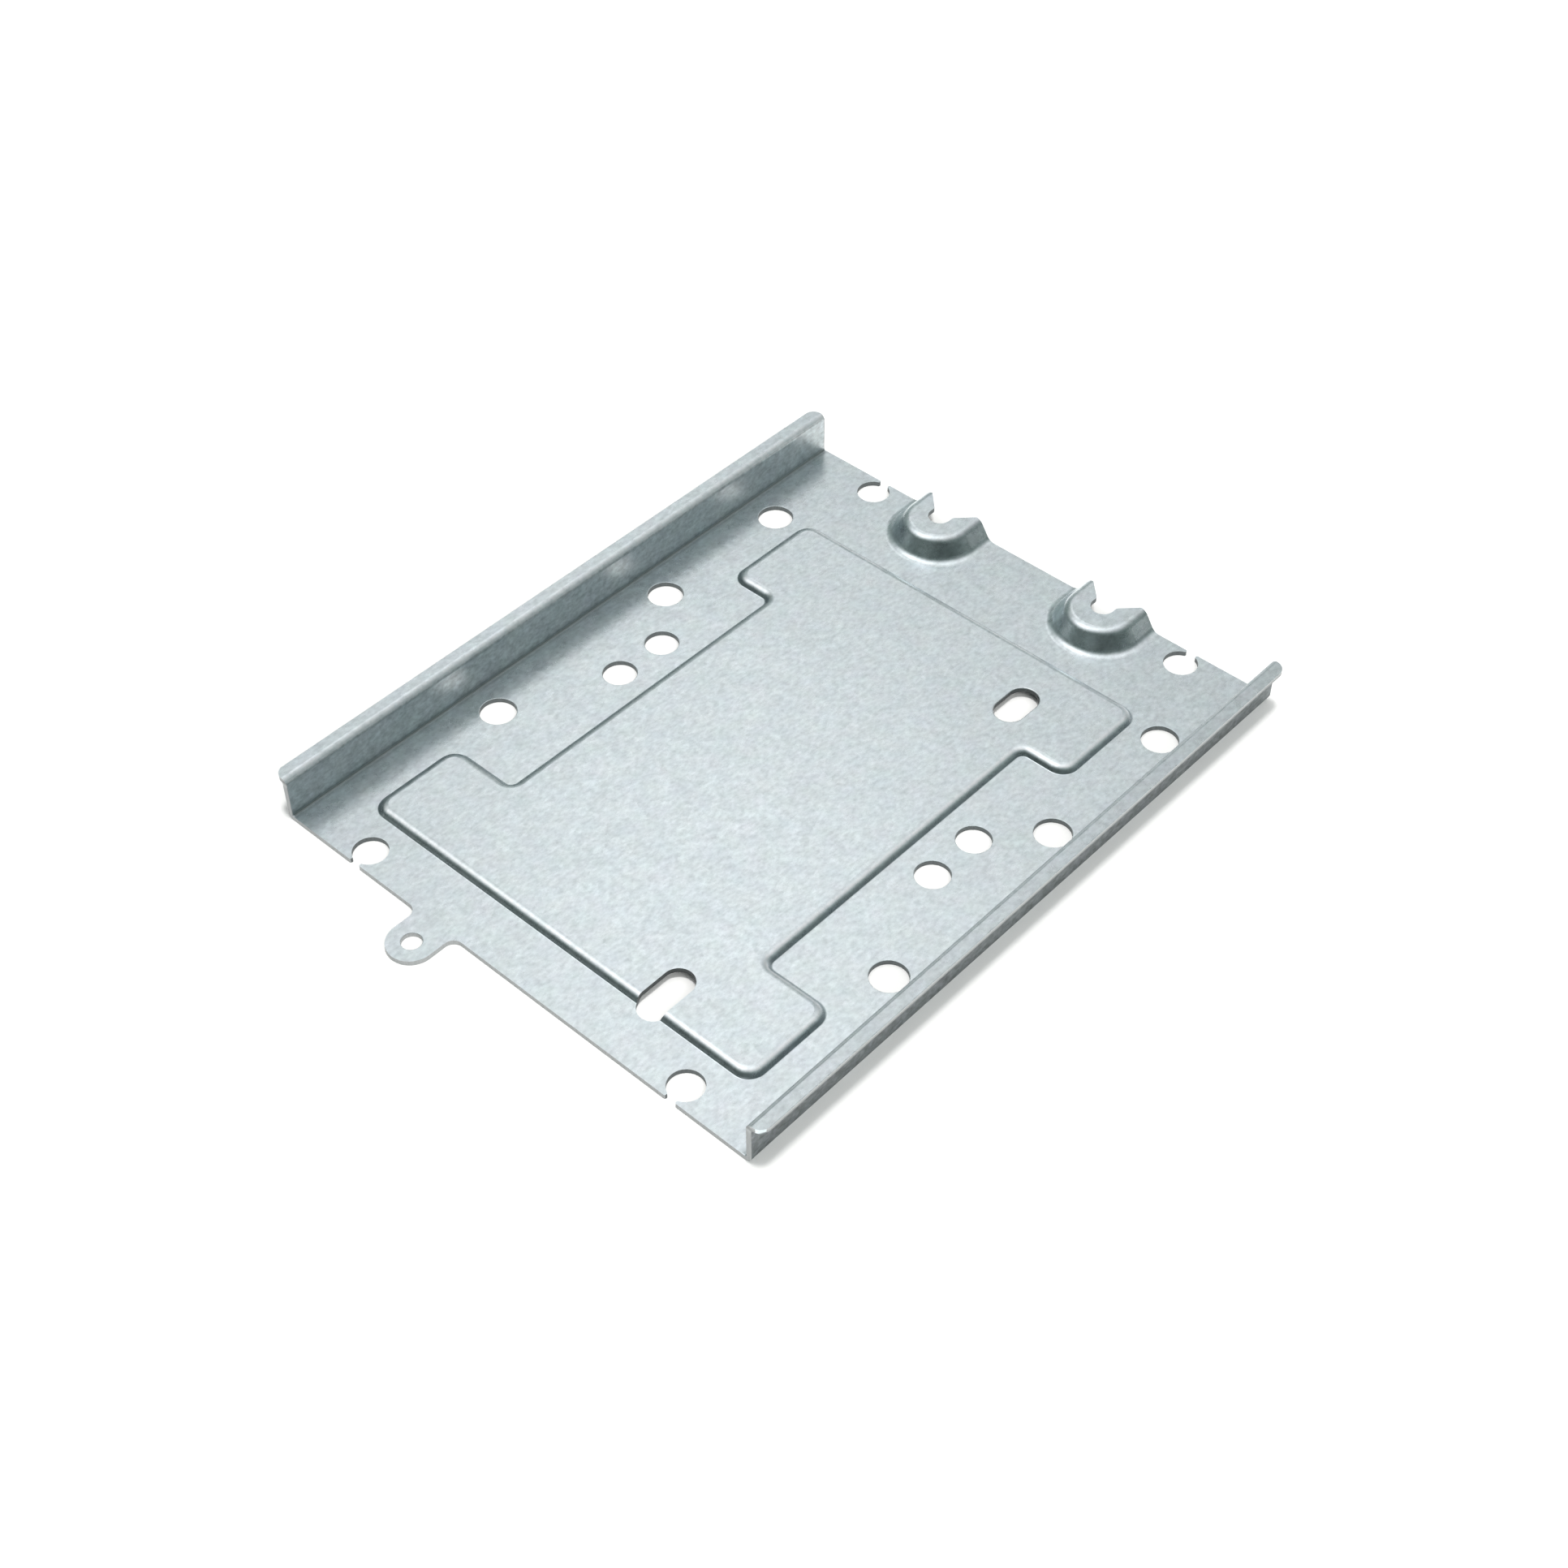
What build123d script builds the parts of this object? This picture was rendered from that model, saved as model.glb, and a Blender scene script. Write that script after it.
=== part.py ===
from build123d import *
import math
import os

# Drive bay adapter bracket: one galvanised steel sheet, punched, pressed and folded.
# Millimetres, +Z up.  Z = 0 is the underside of the web, so the bracket rests on it.
# X runs across the tray (flange to flange), Y along the tray (the ear is at the -Y end).
# The origin is the centre of the small-hole pattern, on the underside of the web.

# ---------------------------------------------------------------- sheet and folds
T = 1.0                    # sheet thickness
WEB_HALF = 71.1            # half length of the web and flanges along Y
X_IN = 55.0                # inner face of each flange
X_OUT = X_IN + T           # outer face of each flange
X_LIP = 58.3               # outer edge of the lip
H = 9.8                    # overall height, underside of the web to top of the lip
R_FOLD = 0.5               # inside radius of the web-to-flange fold
R_LIPFOLD = 0.25           # inside radius of the flange-to-lip fold
R_LIP_END = 2.2            # plan radius of the lip's free corners

# ---------------------------------------------------------------- raised panel
PANEL_H = 1.3              # step height
STEP_SLOPE = 62            # steepest slope of the step, degrees from the flat
STEP_R_TOP = 2.0           # convex radius along the top of the step
STEP_R_FOOT = 0.3          # concave radius along the foot of the step
PANEL_FRONT_X = 46.12      # half widths and Y limits where the slope meets the web,
PANEL_MID_X = 31.25        # before rounding
PANEL_BACK_X = 41.27
PANEL_Y0 = -60.62
PANEL_Y1 = -40.23
PANEL_Y2 = 28.03
PANEL_Y3 = 50.47
PANEL_R_OUT = 3.5          # plan radius of the panel's outward corners
PANEL_R_IN = 1.5           # plan radius of the panel's inward corners

# ---------------------------------------------------------------- holes
# The large holes are the 95.25 mm wide bottom pattern of a 3.5-inch drive.
LARGE_R = 3.5
LARGE_X = 95.25 / 2
LARGE_Y = (48.01, 16.26, -28.19)
# Small holes and keyholes together are two 76.6 x 61.72 mm patterns of 2.5-inch
# drives, turned a quarter turn and set one behind the other.
SMALL_R = 3.3
SMALL_X = 76.6 / 2
SMALL_Y = 5.65
KEY_Y = SMALL_Y + 61.72
KEY_GAP = 2.2              # width of the keyhole's opening through the edge
KEY_TIP_R = 0.3            # rounding of the two tips, on the edge side
KEY_NECK_R = 0.25          # and on the hole side

# Two slots, both on one side only.
SLOT_X = 23.2
SLOT_W = 6.0
SLOT_REAR = (31.5, 41.5)
SLOT_FRONT = (-62.3, -50.4)

# Ear with a screw hole at the front edge.
EAR_X = -17.3
EAR_Y = -76.5
EAR_R = 4.55
EAR_ROOT_R = 2.0
EAR_HOLE_R = 1.9

# ---------------------------------------------------------------- bosses
BOSS_X = 20.2              # boss centres, left and right
BOSS_Y = 66.0
BOSS_H = 4.2               # height above the web
BOSS_BASE_R = 9.31         # wall meets the web here, before rounding
BOSS_TOP_R = 6.59          # wall meets the top here, before rounding
BOSS_R_TOP = 2.1           # outside radius along the top
BOSS_R_FOOT = 2.1          # concave radius along the foot
BOSS_END_R = 10.6          # the boss patch ends here, flat with the web
NOTCH_R = 2.35             # U notch in the boss top
NOTCH_Y = 66.45            # centre of the notch's round bottom
NOTCH_FLARE_Y = 67.7       # the mouth flares at 45 degrees from here
NOTCH_TIP_R = 0.9          # rounding where the flare begins

# Rounding left by the punch on the upper edge of each opening.
ROLL_HOLE = 0.12
ROLL_SLOT = 0.25


def column(face, z0, z1):
    """Upright solid over a plan face, from z0 to z1."""
    return Pos(0, 0, z0) * extrude(face, amount=z1 - z0, dir=(0, 0, 1))


# ---------------------------------------------------------------- folded section
# Section in the X-Z plane: web, two flanges and their outward lips, with the
# folds' true inside and outside radii.
def folded_section():
    right = [(X_OUT, 0), (X_OUT, H - T), (X_LIP, H - T), (X_LIP, H), (X_IN, H), (X_IN, T)]
    left = [(-x, z) for x, z in reversed(right)]
    pts = right + left
    face = make_face(Polyline(*[(x, z, 0) for x, z in pts], close=True))

    def at(x, z):
        return [v for v in face.vertices()
                if abs(abs(v.X) - x) < 1e-4 and abs(v.Y - z) < 1e-4]

    for x, z, r in ((X_OUT, 0, R_FOLD + T), (X_IN, T, R_FOLD),
                    (X_OUT, H - T, R_LIPFOLD), (X_IN, H, R_LIPFOLD + T),
                    (X_LIP, H, 0.12), (X_LIP, H - T, 0.08)):
        face = fillet(at(x, z), r)
    return face


section = folded_section()
tray = extrude(Plane(origin=(0, WEB_HALF, 0), x_dir=(1, 0, 0), z_dir=(0, -1, 0)) * section,
               amount=2 * WEB_HALF)
if isinstance(tray, (list, ShapeList)):
    tray = tray[0]

# Rounded free corners of the lips.
for sx in (-1, 1):
    for sy in (-1, 1):
        cx, cy = sx * (X_LIP - R_LIP_END), sy * (WEB_HALF - R_LIP_END)
        square = Pos(cx + sx * 1.6, cy + sy * 1.6) * Rectangle(3.2, 3.2)
        corner = square - Pos(cx, cy) * Circle(R_LIP_END)
        tray -= column(corner, H - T - 0.45, H + 0.5)

# ---------------------------------------------------------------- ear
ear_plan = Pos(EAR_X, EAR_Y) * Circle(EAR_R)
ear_plan += Pos(EAR_X, (EAR_Y - WEB_HALF + 4) / 2) * Rectangle(2 * EAR_R, abs(EAR_Y) - WEB_HALF + 4)
for sx in (-1, 1):
    qx, qy = EAR_X + sx * (EAR_R + EAR_ROOT_R), -WEB_HALF - EAR_ROOT_R
    web_corner = Pos(EAR_X + sx * (EAR_R + EAR_ROOT_R / 2), -WEB_HALF - EAR_ROOT_R / 2) * \
        Rectangle(EAR_ROOT_R, EAR_ROOT_R)
    ear_plan += web_corner - Pos(qx, qy) * Circle(EAR_ROOT_R)
tray += column(ear_plan, 0, T)

# ---------------------------------------------------------------- raised panel
panel_pts = [(PANEL_FRONT_X, PANEL_Y0), (PANEL_FRONT_X, PANEL_Y1),
             (PANEL_MID_X, PANEL_Y1), (PANEL_MID_X, PANEL_Y2),
             (PANEL_BACK_X, PANEL_Y2), (PANEL_BACK_X, PANEL_Y3)]
panel_pts += [(-x, y) for x, y in reversed(panel_pts)]


def panel_plan(inset):
    """Panel outline with rounded corners, drawn in by inset."""
    inward = []
    for i, (x, y) in enumerate(panel_pts):
        sx = 1 if x > 0 else -1
        ny = {PANEL_Y0: 1, PANEL_Y1: -1, PANEL_Y2: 1, PANEL_Y3: -1}[y]
        inward.append((x - sx * inset, y + ny * inset))
    face = make_face(Polyline(*inward, close=True))
    reentrant = [v for v in face.vertices()
                 if abs(abs(v.X) - (PANEL_MID_X - inset)) < 1e-4]
    face = fillet(reentrant, PANEL_R_IN + inset)
    outward = [v for v in face.vertices()
               if abs(abs(v.X) - (PANEL_FRONT_X - inset)) < 1e-4
               or abs(abs(v.X) - (PANEL_BACK_X - inset)) < 1e-4]
    return fillet(outward, PANEL_R_OUT - inset)


def sloped(inset, z):
    """The panel's raised volume over its outline at height z, with the step's slope."""
    return Pos(0, 0, z) * extrude(panel_plan(inset), amount=PANEL_H, dir=(0, 0, 1),
                                  taper=90 - STEP_SLOPE)


SLOPE = math.radians(STEP_SLOPE)
RUN = PANEL_H / math.tan(SLOPE)          # how far the slope leans in over its height
MOUTH = T * math.tan(SLOPE / 2)          # the recess is the same slope, one sheet deeper
tray += column(panel_plan(0), T - 0.3, T) + sloped(0, T)
tray -= column(panel_plan(MOUTH), -1, 0) + sloped(MOUTH, 0)


def edges_at(shape, z, inset, tol=0.02):
    """Edges of the panel outline lying flat at height z."""
    out = []
    wires = panel_plan(inset).wires()[0]
    for e in shape.edges():
        bb = e.bounding_box()
        if abs(bb.min.Z - z) < 1e-3 and abs(bb.max.Z - z) < 1e-3:
            m = e.position_at(0.5)
            if wires.distance_to(Vector(m.X, m.Y, 0)) < tol:
                out.append(e)
    return out


tray = fillet(edges_at(tray, T + PANEL_H, RUN), STEP_R_TOP)
tray = fillet(edges_at(tray, T, 0), STEP_R_FOOT)
tray = fillet(edges_at(tray, PANEL_H, MOUTH + RUN), STEP_R_TOP - T)
tray = fillet(edges_at(tray, 0, MOUTH), STEP_R_FOOT + T)


# ---------------------------------------------------------------- bosses
def boss_curve(r_base, z_base, r_top, z_top, rad_foot, rad_top, r_end):
    """Rounded line of one boss surface in (r, z): flat, foot radius, wall, top radius, flat."""
    a = math.atan2(z_top - z_base, r_base - r_top)
    tf, tt = rad_foot * math.tan(a / 2), rad_top * math.tan(a / 2)
    ca, sa = math.cos(a), math.sin(a)
    p0 = (r_end, z_base)
    p1 = (r_base + tf, z_base)
    p2 = (r_base - tf * ca, z_base + tf * sa)
    p3 = (r_top + tt * ca, z_top - tt * sa)
    p4 = (r_top - tt, z_top)
    mf = (r_base + tf - rad_foot * math.sin(a / 2), z_base + rad_foot * (1 - math.cos(a / 2)))
    mt = (r_top - tt + rad_top * math.sin(a / 2), z_top - rad_top * (1 - math.cos(a / 2)))
    return p0, p1, mf, p2, p3, mt, p4


def boss_section():
    a = math.atan2(BOSS_H, BOSS_BASE_R - BOSS_TOP_R)
    shift = T * math.tan(a / 2)
    upper = boss_curve(BOSS_BASE_R, T, BOSS_TOP_R, T + BOSS_H, BOSS_R_FOOT, BOSS_R_TOP, BOSS_END_R)
    lower = boss_curve(BOSS_BASE_R - shift, 0, BOSS_TOP_R - shift, BOSS_H,
                       BOSS_R_FOOT + T, BOSS_R_TOP - T, BOSS_END_R)
    lines = []
    for c, rev in ((upper, False), (lower, True)):
        p0, p1, mf, p2, p3, mt, p4 = [(r, z, 0) for r, z in c]
        axis_point = (0, p4[1], 0)
        lines += [Line(p0, p1), ThreePointArc(p1, mf, p2), Line(p2, p3),
                  ThreePointArc(p3, mt, p4), Line(p4, axis_point)]
    lines += [Line((BOSS_END_R, 0, 0), (BOSS_END_R, T, 0)), Line((0, BOSS_H, 0), (0, T + BOSS_H, 0))]
    return make_face(lines)


boss_face = boss_section()
boss_len = WEB_HALF - BOSS_Y
upright = Plane(origin=(0, 0, 0), x_dir=(1, 0, 0), z_dir=(0, -1, 0))   # (r, z) -> (X, Z)
right_half = upright * boss_face
round_front = revolve(right_half, axis=Axis.Z, revolution_arc=-180)
if round_front.bounding_box().max.Y > 1:
    round_front = Rot(0, 0, 180) * round_front
straight = extrude(right_half, amount=boss_len, dir=(0, 1, 0))
straight += mirror(straight, about=Plane.YZ)
boss = round_front + straight

patch = Pos(0, boss_len / 2) * Rectangle(2 * BOSS_END_R, boss_len) + \
    (Circle(BOSS_END_R) & (Pos(0, -BOSS_END_R) * Rectangle(4 * BOSS_END_R, 2 * BOSS_END_R)))
for sx in (-1, 1):
    tray -= column(Pos(sx * BOSS_X, BOSS_Y) * patch, -0.5, T + 0.05)
    tray += Pos(sx * BOSS_X, BOSS_Y, 0) * boss

# U notches with flared mouths through the boss tops.
flare = WEB_HALF - NOTCH_FLARE_Y
notch_pts = [(-NOTCH_R, NOTCH_Y), (-NOTCH_R, NOTCH_FLARE_Y), (-NOTCH_R - flare, WEB_HALF),
             (-NOTCH_R - flare, WEB_HALF + 3), (NOTCH_R + flare, WEB_HALF + 3),
             (NOTCH_R + flare, WEB_HALF), (NOTCH_R, NOTCH_FLARE_Y), (NOTCH_R, NOTCH_Y)]
notch = make_face(Polyline(*notch_pts, close=True))
notch = fillet([v for v in notch.vertices() if abs(v.Y - NOTCH_FLARE_Y) < 1e-4], NOTCH_TIP_R)
notch += Pos(0, NOTCH_Y) * Circle(NOTCH_R)
for sx in (-1, 1):
    tray -= column(Pos(sx * BOSS_X, 0) * notch, 0.5 * BOSS_H, T + BOSS_H + 1)

# ---------------------------------------------------------------- punched openings
for x in (-LARGE_X, LARGE_X):
    for y in LARGE_Y:
        tray -= column(Pos(x, y) * Circle(LARGE_R), -1, T + 1)
for x in (-SMALL_X, SMALL_X):
    for y in (-SMALL_Y, SMALL_Y):
        tray -= column(Pos(x, y) * Circle(SMALL_R), -1, T + 1)
tray -= column(Pos(EAR_X, EAR_Y) * Circle(EAR_HOLE_R), -1, T + 1)

# Keyholes: a round hole that breaks out through the edge by a narrower gap.
neck_y = math.sqrt(SMALL_R ** 2 - (KEY_GAP / 2) ** 2)
for sx in (-1, 1):
    for sy in (-1, 1):
        gap = Pos(0, (neck_y + 6) / 2 - 0.6) * Rectangle(KEY_GAP, 6 - neck_y + 1.2)
        key = Circle(SMALL_R) + gap
        # the web's edge in the key's own frame, for rounding the two tips
        edge = WEB_HALF - KEY_Y
        outside = Pos(0, edge + 3) * Rectangle(12, 6)
        key = key + outside
        tips = [v for v in key.vertices() if abs(abs(v.X) - KEY_GAP / 2) < 1e-4]
        key = fillet([v for v in tips if abs(v.Y - edge) < 1e-4], KEY_TIP_R)
        key = fillet([v for v in key.vertices()
                      if abs(abs(v.X) - KEY_GAP / 2) < 1e-4 and abs(v.Y - neck_y) < 1e-4], KEY_NECK_R)
        key = Rot(0, 0, 0 if sy > 0 else 180) * key
        tray -= column(Pos(sx * SMALL_X, sy * KEY_Y) * key, -1, T + 1)

for y0, y1 in (SLOT_REAR, SLOT_FRONT):
    stadium = Pos(SLOT_X, (y0 + y1) / 2) * Rot(0, 0, 90) * SlotOverall(y1 - y0, SLOT_W)
    tray -= column(stadium, -1, T + PANEL_H + 1)

# ---------------------------------------------------------------- punch rolls
def roll(shape, picks, r):
    try:
        return fillet(picks, r)
    except Exception as err:
        print("roll skipped", len(picks), r, err)
        return shape


def flat_edges(shape, z, test):
    out = []
    for e in shape.edges():
        bb = e.bounding_box()
        if abs(bb.min.Z - z) < 1e-3 and abs(bb.max.Z - z) < 1e-3:
            m = e.position_at(0.5)
            if test(m.X, m.Y):
                out.append(e)
    return out


def near_circle(cx, cy, r):
    return lambda x, y: abs(math.hypot(x - cx, y - cy) - r) < 0.05


for x in (-LARGE_X, LARGE_X):
    for y in LARGE_Y:
        tray = roll(tray, flat_edges(tray, T, near_circle(x, y, LARGE_R)), ROLL_HOLE)
for x in (-SMALL_X, SMALL_X):
    for y in (-SMALL_Y, SMALL_Y):
        tray = roll(tray, flat_edges(tray, T, near_circle(x, y, SMALL_R)), ROLL_HOLE)
tray = roll(tray, flat_edges(tray, T, near_circle(EAR_X, EAR_Y, EAR_HOLE_R)), ROLL_HOLE)


def on_slot(y0, y1):
    def test(x, y):
        yc = min(max(y, y0 + SLOT_W / 2), y1 - SLOT_W / 2)
        return abs(math.hypot(x - SLOT_X, y - yc) - SLOT_W / 2) < 0.05
    return test


tray = roll(tray, flat_edges(tray, T + PANEL_H, on_slot(*SLOT_REAR)), ROLL_SLOT)

solids = tray.solids()
print("solids", len(solids), "volume", round(tray.volume, 1), "valid", tray.is_valid)
bb = tray.bounding_box()
print("box", [round(v, 3) for v in (bb.min.X, bb.min.Y, bb.min.Z, bb.max.X, bb.max.Y, bb.max.Z)])

os.makedirs("parts", exist_ok=True)
bracket = solids[0]
bracket.label = "bracket"
export_step(bracket, "parts/bracket.step")
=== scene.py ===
import bpy
import math
from mathutils import Matrix, Vector

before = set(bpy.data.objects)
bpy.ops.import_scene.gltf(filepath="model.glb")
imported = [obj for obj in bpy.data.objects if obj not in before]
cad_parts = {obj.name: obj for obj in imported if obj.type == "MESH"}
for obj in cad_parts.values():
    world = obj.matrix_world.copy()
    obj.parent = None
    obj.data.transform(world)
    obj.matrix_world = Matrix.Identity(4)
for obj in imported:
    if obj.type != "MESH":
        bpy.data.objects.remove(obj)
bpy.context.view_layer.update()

scene = bpy.context.scene


# ------------------------------------------------------------------ camera
# Pinhole camera fitted to the photograph: 45.5 degrees above the tray, 42.4 degrees
# round from its long axis, about half a metre away.
CAM_AT = (0.212159, -0.234461, 0.314487)
CAM_PITCH, CAM_YAW, CAM_ROLL = 0.79360610, 0.73947495, 0.00262803
FOCAL_PX, FRAME_PX = 3013.81, 1932.0


def make_camera():
    cp, sp = math.cos(CAM_PITCH), math.sin(CAM_PITCH)
    cy, sy = math.cos(CAM_YAW), math.sin(CAM_YAW)
    fwd = Vector((-sy * cp, cy * cp, -sp))
    right = fwd.cross(Vector((0, 0, 1))).normalized()
    down = fwd.cross(right)
    c, s = math.cos(CAM_ROLL), math.sin(CAM_ROLL)
    right, down = c * right + s * down, -s * right + c * down
    data = bpy.data.cameras.new("camera")
    data.sensor_fit = "HORIZONTAL"
    data.sensor_width = 36.0
    data.lens = FOCAL_PX / FRAME_PX * 36.0
    data.clip_start = 0.01
    data.clip_end = 20.0
    cam = bpy.data.objects.new("camera", data)
    up, back = -down, -fwd
    cam.matrix_world = Matrix((
        (right.x, up.x, back.x, CAM_AT[0]),
        (right.y, up.y, back.y, CAM_AT[1]),
        (right.z, up.z, back.z, CAM_AT[2]),
        (0, 0, 0, 1)))
    scene.collection.objects.link(cam)
    scene.camera = cam


make_camera()


# ------------------------------------------------------------------ node helpers
class Tree:
    """Short ways to add and join shader nodes."""

    def __init__(self, tree):
        self.t = tree
        self.n = tree.nodes
        self.l = tree.links

    def add(self, kind, **settings):
        node = self.n.new(kind)
        for key, value in settings.items():
            if key.startswith("in_"):
                node.inputs[int(key[3:])].default_value = value
            else:
                setattr(node, key, value)
        return node

    def join(self, a, b):
        self.l.new(a, b)

    def value(self, socket, target):
        if hasattr(socket, "is_output"):
            self.join(socket, target)
        else:
            target.default_value = socket

    def math(self, op, a, b=None, c=None, clamp=False):
        node = self.add("ShaderNodeMath", operation=op, use_clamp=clamp)
        for i, x in enumerate((a, b, c)):
            if x is not None:
                self.value(x, node.inputs[i])
        return node.outputs[0]

    def vmath(self, op, a, b=None, out=0):
        node = self.add("ShaderNodeVectorMath", operation=op)
        self.value(a, node.inputs[0])
        if b is not None:
            self.value(b, node.inputs[1])
        return node.outputs[out]

    def ramp(self, x, lo, hi, to_lo=0.0, to_hi=1.0, smooth=True):
        node = self.add("ShaderNodeMapRange",
                        interpolation_type="SMOOTHSTEP" if smooth else "LINEAR")
        self.value(x, node.inputs[0])
        for i, v in enumerate((lo, hi, to_lo, to_hi)):
            self.value(v, node.inputs[i + 1])
        return node.outputs[0]

    def mix(self, f, a, b, mode="MIX"):
        node = self.add("ShaderNodeMix", data_type="RGBA", blend_type=mode)
        self.value(f, node.inputs[0])
        self.value(a, node.inputs[6])
        self.value(b, node.inputs[7])
        return node.outputs[2]

    def noise(self, vec, scale, detail=2.0, rough=0.5, distort=0.0):
        node = self.add("ShaderNodeTexNoise", noise_dimensions="3D")
        self.join(vec, node.inputs["Vector"])
        node.inputs["Scale"].default_value = scale
        node.inputs["Detail"].default_value = detail
        node.inputs["Roughness"].default_value = rough
        node.inputs["Distortion"].default_value = distort
        return node

    def stretch(self, vec, scale=(1, 1, 1), turn=(0, 0, 0), move=(0, 0, 0)):
        node = self.add("ShaderNodeMapping")
        self.join(vec, node.inputs[0])
        node.inputs["Location"].default_value = move
        node.inputs["Rotation"].default_value = turn
        node.inputs["Scale"].default_value = scale
        return node.outputs[0]


# ------------------------------------------------------------------ galvanised sheet
def cut_edges(t, place, normal):
    """1 on the sheared edges of the sheet, 0 on its faces; then which of them are outer ones,
    the inner crease of the flanges and its radius, their upright walls, the rounded top and
    the slope of the panel's step, the bend below each lip, the underside of the web, the
    right lip with the right flanks of the bosses, and the height. Millimetre zones follow the
    construction: web 0 to 1 mm, panel top 2.3, boss tops 5.2, lips 8.8 to 9.8."""
    def under(v, lim):
        return t.math("LESS_THAN", v, lim)

    def over(v, lim):
        return t.math("GREATER_THAN", v, lim)

    def both(*parts):
        r = parts[0]
        for q in parts[1:]:
            r = t.math("MULTIPLY", r, q)
        return r

    mm = t.add("ShaderNodeSeparateXYZ")
    t.join(t.vmath("MULTIPLY", place, (1000.0, 1000.0, 1000.0)), mm.inputs[0])
    n = t.add("ShaderNodeSeparateXYZ")
    t.join(normal, n.inputs[0])
    x, y, z = mm.outputs[0], mm.outputs[1], mm.outputs[2]
    ax, ay = t.math("ABSOLUTE", x), t.math("ABSOLUTE", y)
    upright = t.math("SUBTRACT", 1.0, t.ramp(t.math("ABSOLUTE", n.outputs[2]), 0.15, 0.45))
    inside = under(ax, 54.0)
    web = both(inside, under(z, 0.99))
    slot_x = under(t.math("ABSOLUTE", t.math("SUBTRACT", x, 23.2)), 3.3)
    rear = under(t.math("ABSOLUTE", t.math("SUBTRACT", y, 36.5)), 5.3)
    front = under(t.math("ABSOLUTE", t.math("SUBTRACT", y, -56.35)), 6.3)
    slots = both(slot_x, t.math("MAXIMUM", rear, front))
    notch = both(inside, over(ay, 62.0), over(z, 1.5))
    ends = over(ay, 70.97)
    lips = over(ax, 58.12)
    zone = web
    for q in (slots, notch, ends, lips):
        zone = t.math("MAXIMUM", zone, q)
    outer = t.math("MAXIMUM", ends, lips)
    fold = both(t.ramp(ax, 53.6, 54.3), t.math("SUBTRACT", 1.0, t.ramp(z, 1.25, 1.75)),
                over(z, 0.99), under(ax, 55.2), under(ay, 70.9))
    tilt = t.math("ABSOLUTE", n.outputs[2])
    crease = both(over(ax, 53.8), under(ax, 55.3), over(z, 0.99), under(z, 2.6), under(ay, 70.9),
                  t.ramp(tilt, 0.995, 0.965), t.ramp(tilt, 0.40, 0.65))
    facing = t.math("MULTIPLY", n.outputs[0], t.math("SIGN", x))
    tall = both(over(ax, 54.4), under(z, 9.1))
    wall = both(tall, t.math("MAXIMUM", t.ramp(facing, 0.45, 0.90, 0.0, 1.0),
                             t.ramp(facing, -0.95, -0.55, 0.45, 0.0)))
    step = both(inside, over(z, 1.95), under(z, 2.299), under(y, 52.0),
                t.math("SUBTRACT", 1.0, t.ramp(n.outputs[2], 0.93, 0.995)))
    press = both(inside, over(z, 1.02), under(z, 2.0), under(y, 52.0),
                 t.ramp(n.outputs[2], 0.88, 0.62))
    brow = both(over(z, 8.9), over(ax, 53.9), under(ax, 55.9),
                t.ramp(n.outputs[2], 0.985, 0.93))
    below = both(inside, under(n.outputs[2], -0.5))
    lip = both(over(x, 55.9), over(z, 9.3), t.ramp(n.outputs[2], 0.80, 0.97))
    flank = both(inside, over(y, 55.0), t.ramp(z, 1.2, 1.7), under(z, 5.1),
                 t.ramp(n.outputs[0], 0.20, 0.60))
    # Painted shade on the top of the right lip and the bosses' right-facing flanks.
    right_side_shade = t.math("MAXIMUM", t.math("MULTIPLY", lip, 0.14), t.math("MULTIPLY", flank, 0.30))
    return (t.math("MULTIPLY", zone, upright), outer, fold, crease, wall, step, press, brow,
            below, right_side_shade, z)


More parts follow.
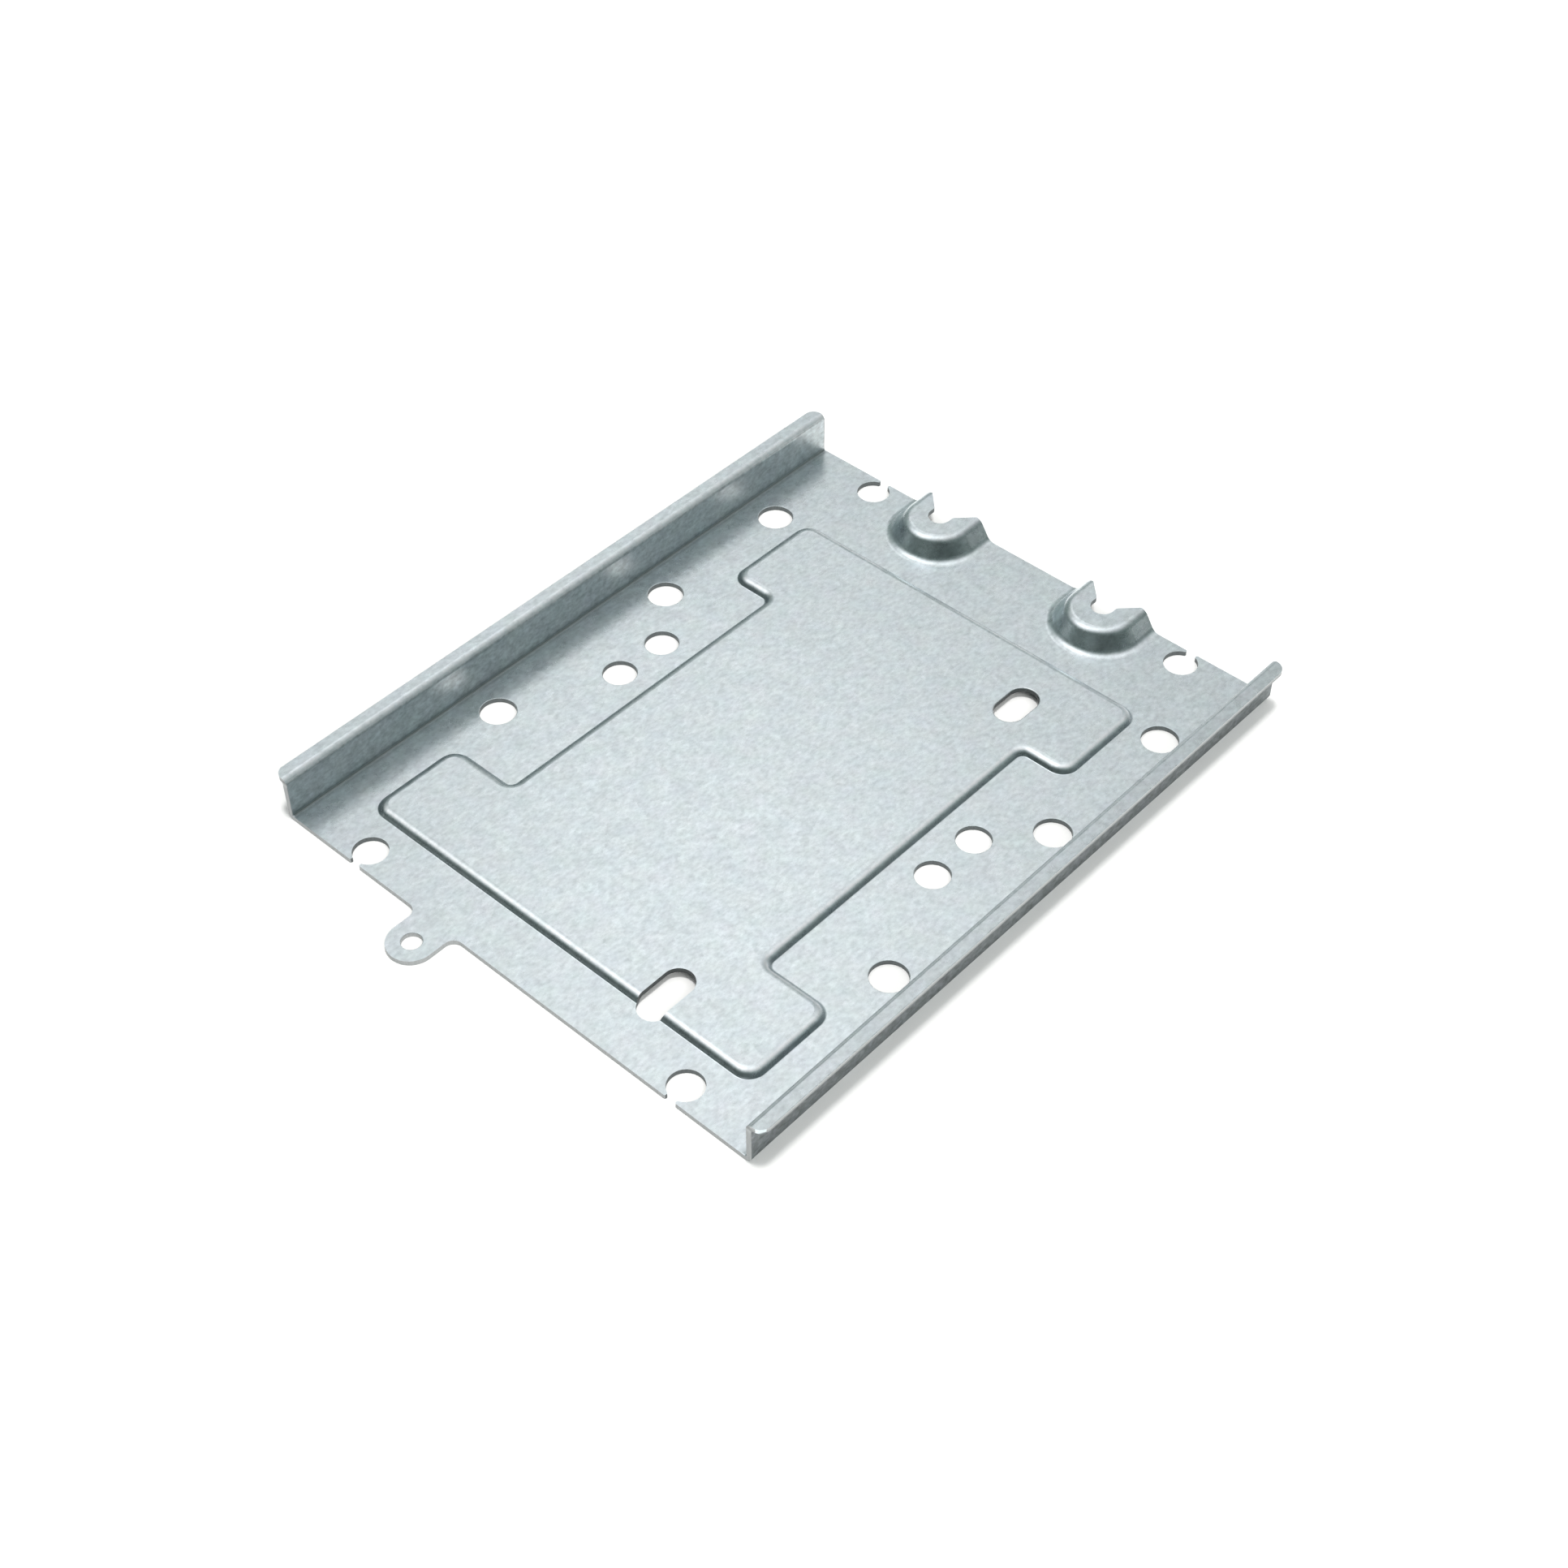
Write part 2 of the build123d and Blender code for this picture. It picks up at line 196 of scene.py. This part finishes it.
def galvanised():
    mat = bpy.data.materials.new("galvanised_steel")
    mat.use_nodes = True
    t = Tree(mat.node_tree)
    t.n.clear()
    out = t.add("ShaderNodeOutputMaterial")
    bsdf = t.add("ShaderNodeBsdfPrincipled")
    t.join(bsdf.outputs[0], out.inputs[0])
    coord = t.add("ShaderNodeTexCoord")
    obj, nrm = coord.outputs["Object"], coord.outputs["Normal"]
    (cut, outer, fold, crease, wall, step, press, brow, below, right_side_shade,
     z_mm) = cut_edges(t, obj, nrm)

    # Zinc crystals: small irregular flakes, each with its own brightness and tilt.
    warp = t.noise(obj, 520.0, 2.0, 0.55)
    centred = t.vmath("SUBTRACT", warp.outputs["Color"], (0.5, 0.5, 0.5))
    bent = t.vmath("ADD", obj, t.vmath("MULTIPLY", centred, (0.0022, 0.0022, 0.0022)))
    flakes = t.add("ShaderNodeTexVoronoi", feature="F1")
    t.join(bent, flakes.inputs["Vector"])
    flakes.inputs["Scale"].default_value = 640.0
    flake = t.add("ShaderNodeSeparateColor")
    t.join(flakes.outputs["Color"], flake.inputs[0])

    # Mottling at three sizes, and a faint slanting grain.
    broad = t.noise(obj, 60.0, 2.0, 0.5, 0.4).outputs["Fac"]
    middle = t.noise(obj, 430.0, 2.0, 0.55, 0.3).outputs["Fac"]
    fine = t.noise(obj, 1100.0, 2.0, 0.6).outputs["Fac"]
    grain_at = t.stretch(obj, scale=(1.0, 0.58, 1.0), turn=(0, 0, math.radians(-38)))
    grain = t.noise(grain_at, 1250.0, 2.0, 0.6).outputs["Fac"]

    tone = t.math("MULTIPLY", t.math("SUBTRACT", broad, 0.5), 0.06)
    tone = t.math("ADD", tone, t.math("MULTIPLY", t.math("SUBTRACT", middle, 0.5), 0.19))
    tone = t.math("ADD", tone, t.math("MULTIPLY", t.math("SUBTRACT", fine, 0.5), 0.24))
    tone = t.math("ADD", tone, t.math("MULTIPLY", t.math("SUBTRACT", grain, 0.5), 0.52))
    tone = t.math("ADD", tone, t.math("MULTIPLY", t.math("SUBTRACT", flake.outputs[0], 0.5), 0.04))
    tone = t.math("MULTIPLY", tone, t.math("MULTIPLY_ADD", wall, 1.6, 1.0))

    # Colour: pale cold blue-grey with slight pink and green areas.
    tint = t.noise(obj, 260.0, 2.0, 0.5).outputs["Color"]
    zinc = t.mix(0.05, (0.746, 0.818, 0.845, 1), tint)
    level = t.math("ADD", 1.0, tone)
    bright = t.add("ShaderNodeCombineColor")
    for i in range(3):
        t.join(level, bright.inputs[i])
    sheet = t.mix(1.0, zinc, bright.outputs[0], "MULTIPLY")

    # Sheared edge: bare steel with fine upright lines; painted shade darkens it in the punched
    # openings.
    lines_at = t.stretch(obj, scale=(1.0, 1.0, 0.06))
    lines = t.noise(lines_at, 3800.0, 2.0, 0.6).outputs["Fac"]
    steel = t.mix(outer, (0.20, 0.22, 0.225, 1), (0.50, 0.515, 0.52, 1))
    streak = t.add("ShaderNodeCombineColor")
    grey = t.math("ADD", 0.80, t.math("MULTIPLY", lines, 0.40))
    # On the lips: burnished band above, darker torn band below.
    torn = t.math("MULTIPLY", t.ramp(z_mm, 8.3, 8.9), outer)
    torn = t.math("MULTIPLY", torn, t.ramp(z_mm, 9.0, 9.75, 0.32, 0.0))
    grey = t.math("MULTIPLY", grey, t.math("SUBTRACT", 1.0, torn))
    # Sheared edges darker towards the bottom: the web's edge, the lower part of the panel's
    # openings and the flanges' ends below the lips.
    low = t.math("MAXIMUM", t.ramp(z_mm, 1.0, 2.2, 1.0, 0.0),
                 t.math("MULTIPLY", outer, t.ramp(z_mm, 7.6, 8.6, 1.0, 0.0)))
    grey = t.math("MULTIPLY", grey, t.math("MULTIPLY_ADD", low, -0.23, 1.0))
    # Painted shade: the walls of the openings through the raised panel are darkened, as they get
    # little light.
    panel_opening_shade = t.math("MULTIPLY", t.ramp(z_mm, 1.0, 1.2), t.ramp(z_mm, 2.3, 2.6, 1.0, 0.0))
    panel_opening_shade = t.math("MULTIPLY", panel_opening_shade, t.math("SUBTRACT", 1.0, outer))
    grey = t.math("MULTIPLY", grey, t.math("MULTIPLY_ADD", panel_opening_shade, -0.55, 1.0))
    for i in range(3):
        t.join(grey, streak.inputs[i])
    steel = t.mix(1.0, steel, streak.outputs[0], "MULTIPLY")
    # The folded walls are stretched and rougher than the flat sheet. Painted shade darkens the
    # walls (outer faces most), the pressed slope, the underside, the right lip and the bosses'
    # right flanks.
    painted_shade_level = t.math("MULTIPLY_ADD", wall, -0.72, 1.0)
    painted_shade_level = t.math("MULTIPLY_ADD", press, -0.36, painted_shade_level)
    painted_shade_level = t.math("MULTIPLY_ADD", below, -0.45, painted_shade_level)
    painted_shade_level = t.math("SUBTRACT", painted_shade_level, right_side_shade)
    shade = t.add("ShaderNodeCombineColor")
    for i in range(3):
        t.join(painted_shade_level, shade.inputs[i])
    sheet = t.mix(1.0, sheet, shade.outputs[0], "MULTIPLY")
    # Painted highlight along the rounded top of the panel's step and the bend of each lip, patchy.
    painted_highlight = t.math("MULTIPLY", t.math("MAXIMUM", step, brow), t.ramp(fine, 0.35, 0.62, 0.25, 0.60))
    sheet = t.mix(painted_highlight, sheet, (0.86, 0.87, 0.88, 1))
    # Painted shade in the crease of each flange and on the web beside it, broken up by the grain.
    crease_shade = t.math("MULTIPLY", fold, t.ramp(grain, 0.30, 0.60, 0.10, 0.40))
    crease_shade = t.math("MAXIMUM", crease_shade, t.math("MULTIPLY", crease, 0.88))
    sheet = t.mix(crease_shade, sheet, (0.16, 0.19, 0.19, 1))
    t.join(t.mix(cut, sheet, steel), bsdf.inputs["Base Color"])

    # Roughness changes from flake to flake; sheared edges are duller.
    rough = t.math("ADD", 0.29, t.math("MULTIPLY", t.math("SUBTRACT", flake.outputs[1], 0.5), 0.05))
    rough = t.math("ADD", rough, t.math("MULTIPLY", t.math("SUBTRACT", middle, 0.5), 0.12))
    rough = t.math("ADD", rough, t.math("MULTIPLY", cut, 0.22))
    rough = t.math("ADD", rough, t.math("MULTIPLY", fold, 0.15))
    rough = t.math("ADD", rough, t.math("MULTIPLY", wall, 0.17))
    rough = t.math("ADD", rough, t.math("MULTIPLY", brow, 0.30))
    t.join(rough, bsdf.inputs["Roughness"])
    metal = t.math("SUBTRACT", 1.0, t.math("MULTIPLY", t.math("MULTIPLY", cut, outer), 0.75))
    t.join(metal, bsdf.inputs["Metallic"])

    # Bump: slight waviness of the sheet, then crystals and grain.
    wave = t.noise(obj, 38.0, 1.0, 0.4).outputs["Fac"]
    height = t.math("MULTIPLY", wave, 0.00006)
    height = t.math("ADD", height, t.math("MULTIPLY", middle, 0.000008))
    height = t.math("ADD", height, t.math("MULTIPLY", grain, 0.000004))
    height = t.math("ADD", height, t.math("MULTIPLY", t.math("MULTIPLY", lines, cut), 0.00001))
    bump = t.add("ShaderNodeBump")
    bump.inputs["Strength"].default_value = 1.0
    bump.inputs["Distance"].default_value = 1.0
    t.join(height, bump.inputs["Height"])
    t.join(bump.outputs[0], bsdf.inputs["Normal"])
    return mat


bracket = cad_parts["bracket"]
metal = galvanised()
for slot in bracket.material_slots:
    slot.material = metal


# ------------------------------------------------------------------ floor
def make_floor():
    mesh = bpy.data.meshes.new("floor")
    r = 1.6
    mesh.from_pydata([(-r, -r, 0), (r, -r, 0), (r, r, 0), (-r, r, 0)], [], [(0, 1, 2, 3)])
    floor = bpy.data.objects.new("floor", mesh)
    floor.location = (0, 0, -0.00002)
    scene.collection.objects.link(floor)
    mat = bpy.data.materials.new("floor_white")
    mat.use_nodes = True
    bsdf = mat.node_tree.nodes["Principled BSDF"]
    bsdf.inputs["Base Color"].default_value = (0.90, 0.895, 0.885, 1)
    bsdf.inputs["Roughness"].default_value = 0.9
    bsdf.inputs["Specular IOR Level"].default_value = 0.0
    mesh.materials.append(mat)


make_floor()


# ------------------------------------------------------------------ light
def area(name, toward, distance, size, radiance, colour=(1, 1, 1), mirrored=True):
    """Round soft light of the given diameter, shining at the origin."""
    data = bpy.data.lights.new(name, "AREA")
    data.shape = "DISK"
    data.size = size
    data.energy = radiance * math.pi * math.pi * size * size / 4
    data.color = colour
    lamp = bpy.data.objects.new(name, data)
    d = Vector(toward).normalized()
    lamp.location = d * distance
    lamp.rotation_euler = (-d).to_track_quat("-Z", "Y").to_euler()
    lamp.visible_glossy = mirrored
    scene.collection.objects.link(lamp)
    return lamp


# Straight overhead and kept out of the metal: whitens the floor, and drops the lip's shadow
# right beside the flange.
area("overhead", (0.06, -0.03, 1.0), 1.5, 0.25, 78.0, (1.0, 0.998, 0.99), mirrored=False)
# Low from the right, for the floor below the lip.
area("side", (0.80, -0.25, 0.55), 1.5, 1.0, 4.6, (1.0, 0.998, 0.99), mirrored=False)

# Soft panels of the studio: centre, how tight each one is, and how bright.
PANELS = (
    ((-0.378, -0.238, 0.895), 14.3, 1.42),   # large one overhead, behind the left flange
    ((-0.502, 0.476, 0.722), 80.0, 0.84),    # small one that the raised panel mirrors
    ((0.063, 0.235, 0.970), 4.9, 1.03),      # wide ceiling
    ((-0.138, 0.687, -0.713), 2.8, 2.17),    # pale backdrop behind the rear edge
    ((0.306, -0.846, -0.436), 10.8, 3.00),   # table edge in front
    ((-0.762, -0.648, 0.005), 41.5, 0.65),   # pale strip on the left horizon
)


def make_world():
    """Soft studio surround: the panels above, fading into a dim room."""
    world = bpy.data.worlds.new("studio")
    scene.world = world
    world.use_nodes = True
    t = Tree(world.node_tree)
    t.n.clear()
    out = t.add("ShaderNodeOutputWorld")
    back = t.add("ShaderNodeBackground")
    t.join(back.outputs[0], out.inputs[0])
    coord = t.add("ShaderNodeTexCoord")
    d = t.vmath("NORMALIZE", coord.outputs["Generated"])
    parts = t.add("ShaderNodeSeparateXYZ")
    t.join(d, parts.inputs[0])
    level = t.math("ADD", 0.0, 0.045)
    for centre, tight, bright in PANELS:
        near = t.vmath("DOT_PRODUCT", d, centre, out=1)
        near = t.math("EXPONENT", t.math("MULTIPLY_ADD", near, tight, -tight))
        level = t.math("MULTIPLY_ADD", near, bright, level)
    up = t.ramp(parts.outputs[2], -0.20, -0.03)
    low = t.math("MULTIPLY", t.math("SUBTRACT", 1.0, up), 0.22)
    level = t.math("ADD", t.math("MULTIPLY", level, up), low)
    t.join(level, back.inputs["Strength"])
    tint = t.mix(t.ramp(level, 0.10, 0.75), (0.79, 1.0, 0.955, 1), (1.0, 1.0, 1.0, 1))
    t.join(tint, back.inputs["Color"])


make_world()
scene.view_settings.view_transform = "Standard"
scene.view_settings.look = "None"
scene.view_settings.exposure = 0.0
scene.view_settings.gamma = 1.0
